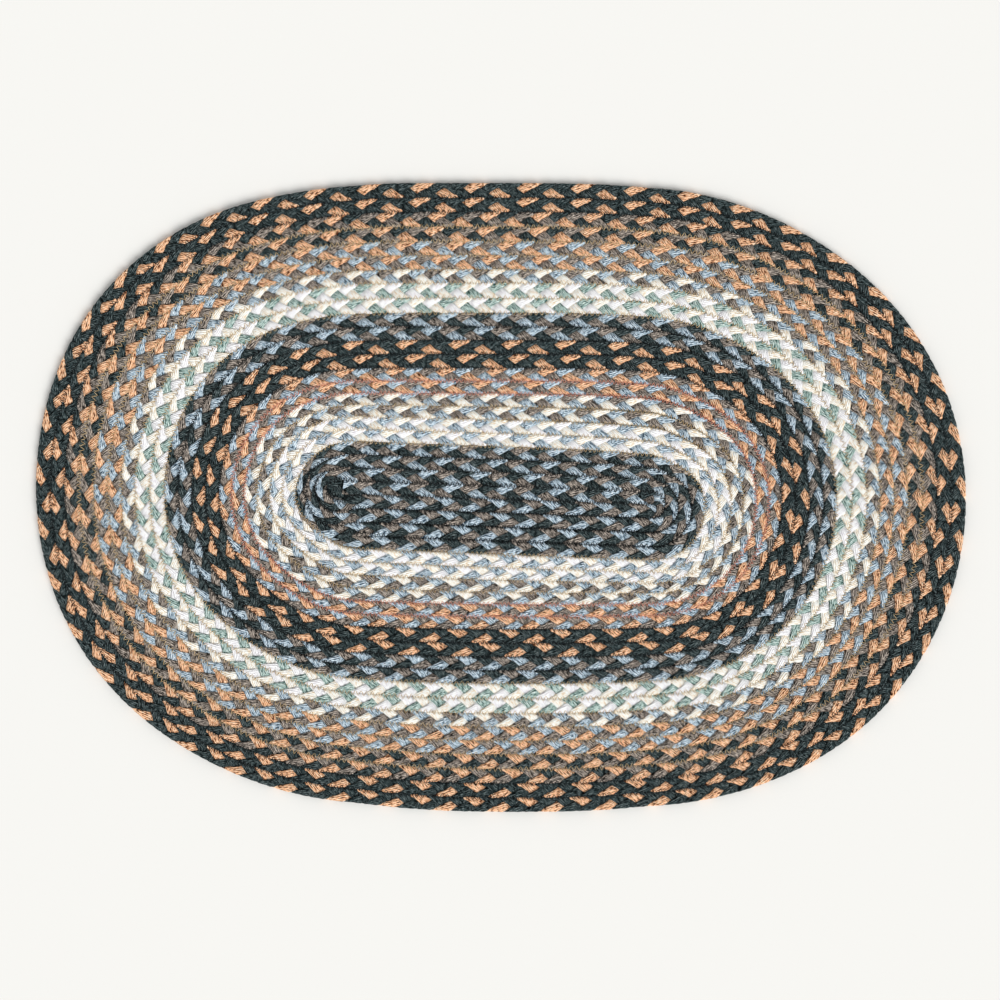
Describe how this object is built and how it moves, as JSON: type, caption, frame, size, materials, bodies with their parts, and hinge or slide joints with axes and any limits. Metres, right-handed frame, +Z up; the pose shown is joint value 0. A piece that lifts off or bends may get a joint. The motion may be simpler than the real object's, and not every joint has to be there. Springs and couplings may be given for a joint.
{
  "type": "jute doormat",
  "caption": "Flat oval doormat of braided jute, coiled round a straight core and sewn turn to turn, in bands of slate, blue-grey, taupe, cream, sage and rust.",
  "frame": {"origin": "under the middle of the mat, on the floor", "axes": "+X along the mat, +Y across it, +Z up out of its top face; the braid runs clockwise outwards seen from above"},
  "size_m": [0.7638, 0.5162, 0.007],
  "materials": {
    "jute_charcoal": "matt dyed jute yarn, dark slate",
    "jute_taupe": "matt dyed jute yarn, brownish grey with pale fibres",
    "jute_blue": "matt dyed jute yarn, pale grey-blue with white fibres",
    "jute_rust": "matt dyed jute yarn, soft orange rust",
    "jute_cream": "matt jute yarn, natural cream",
    "jute_white": "matt bleached jute yarn, cool white",
    "jute_sage": "matt dyed jute yarn, grey-green",
    "sewing_thread": "matt sewing thread, in the colours of the bands it joins"
  },
  "bodies": {
    "root": {"braided_mat": "jute_charcoal"}
  },
  "joints": []
}
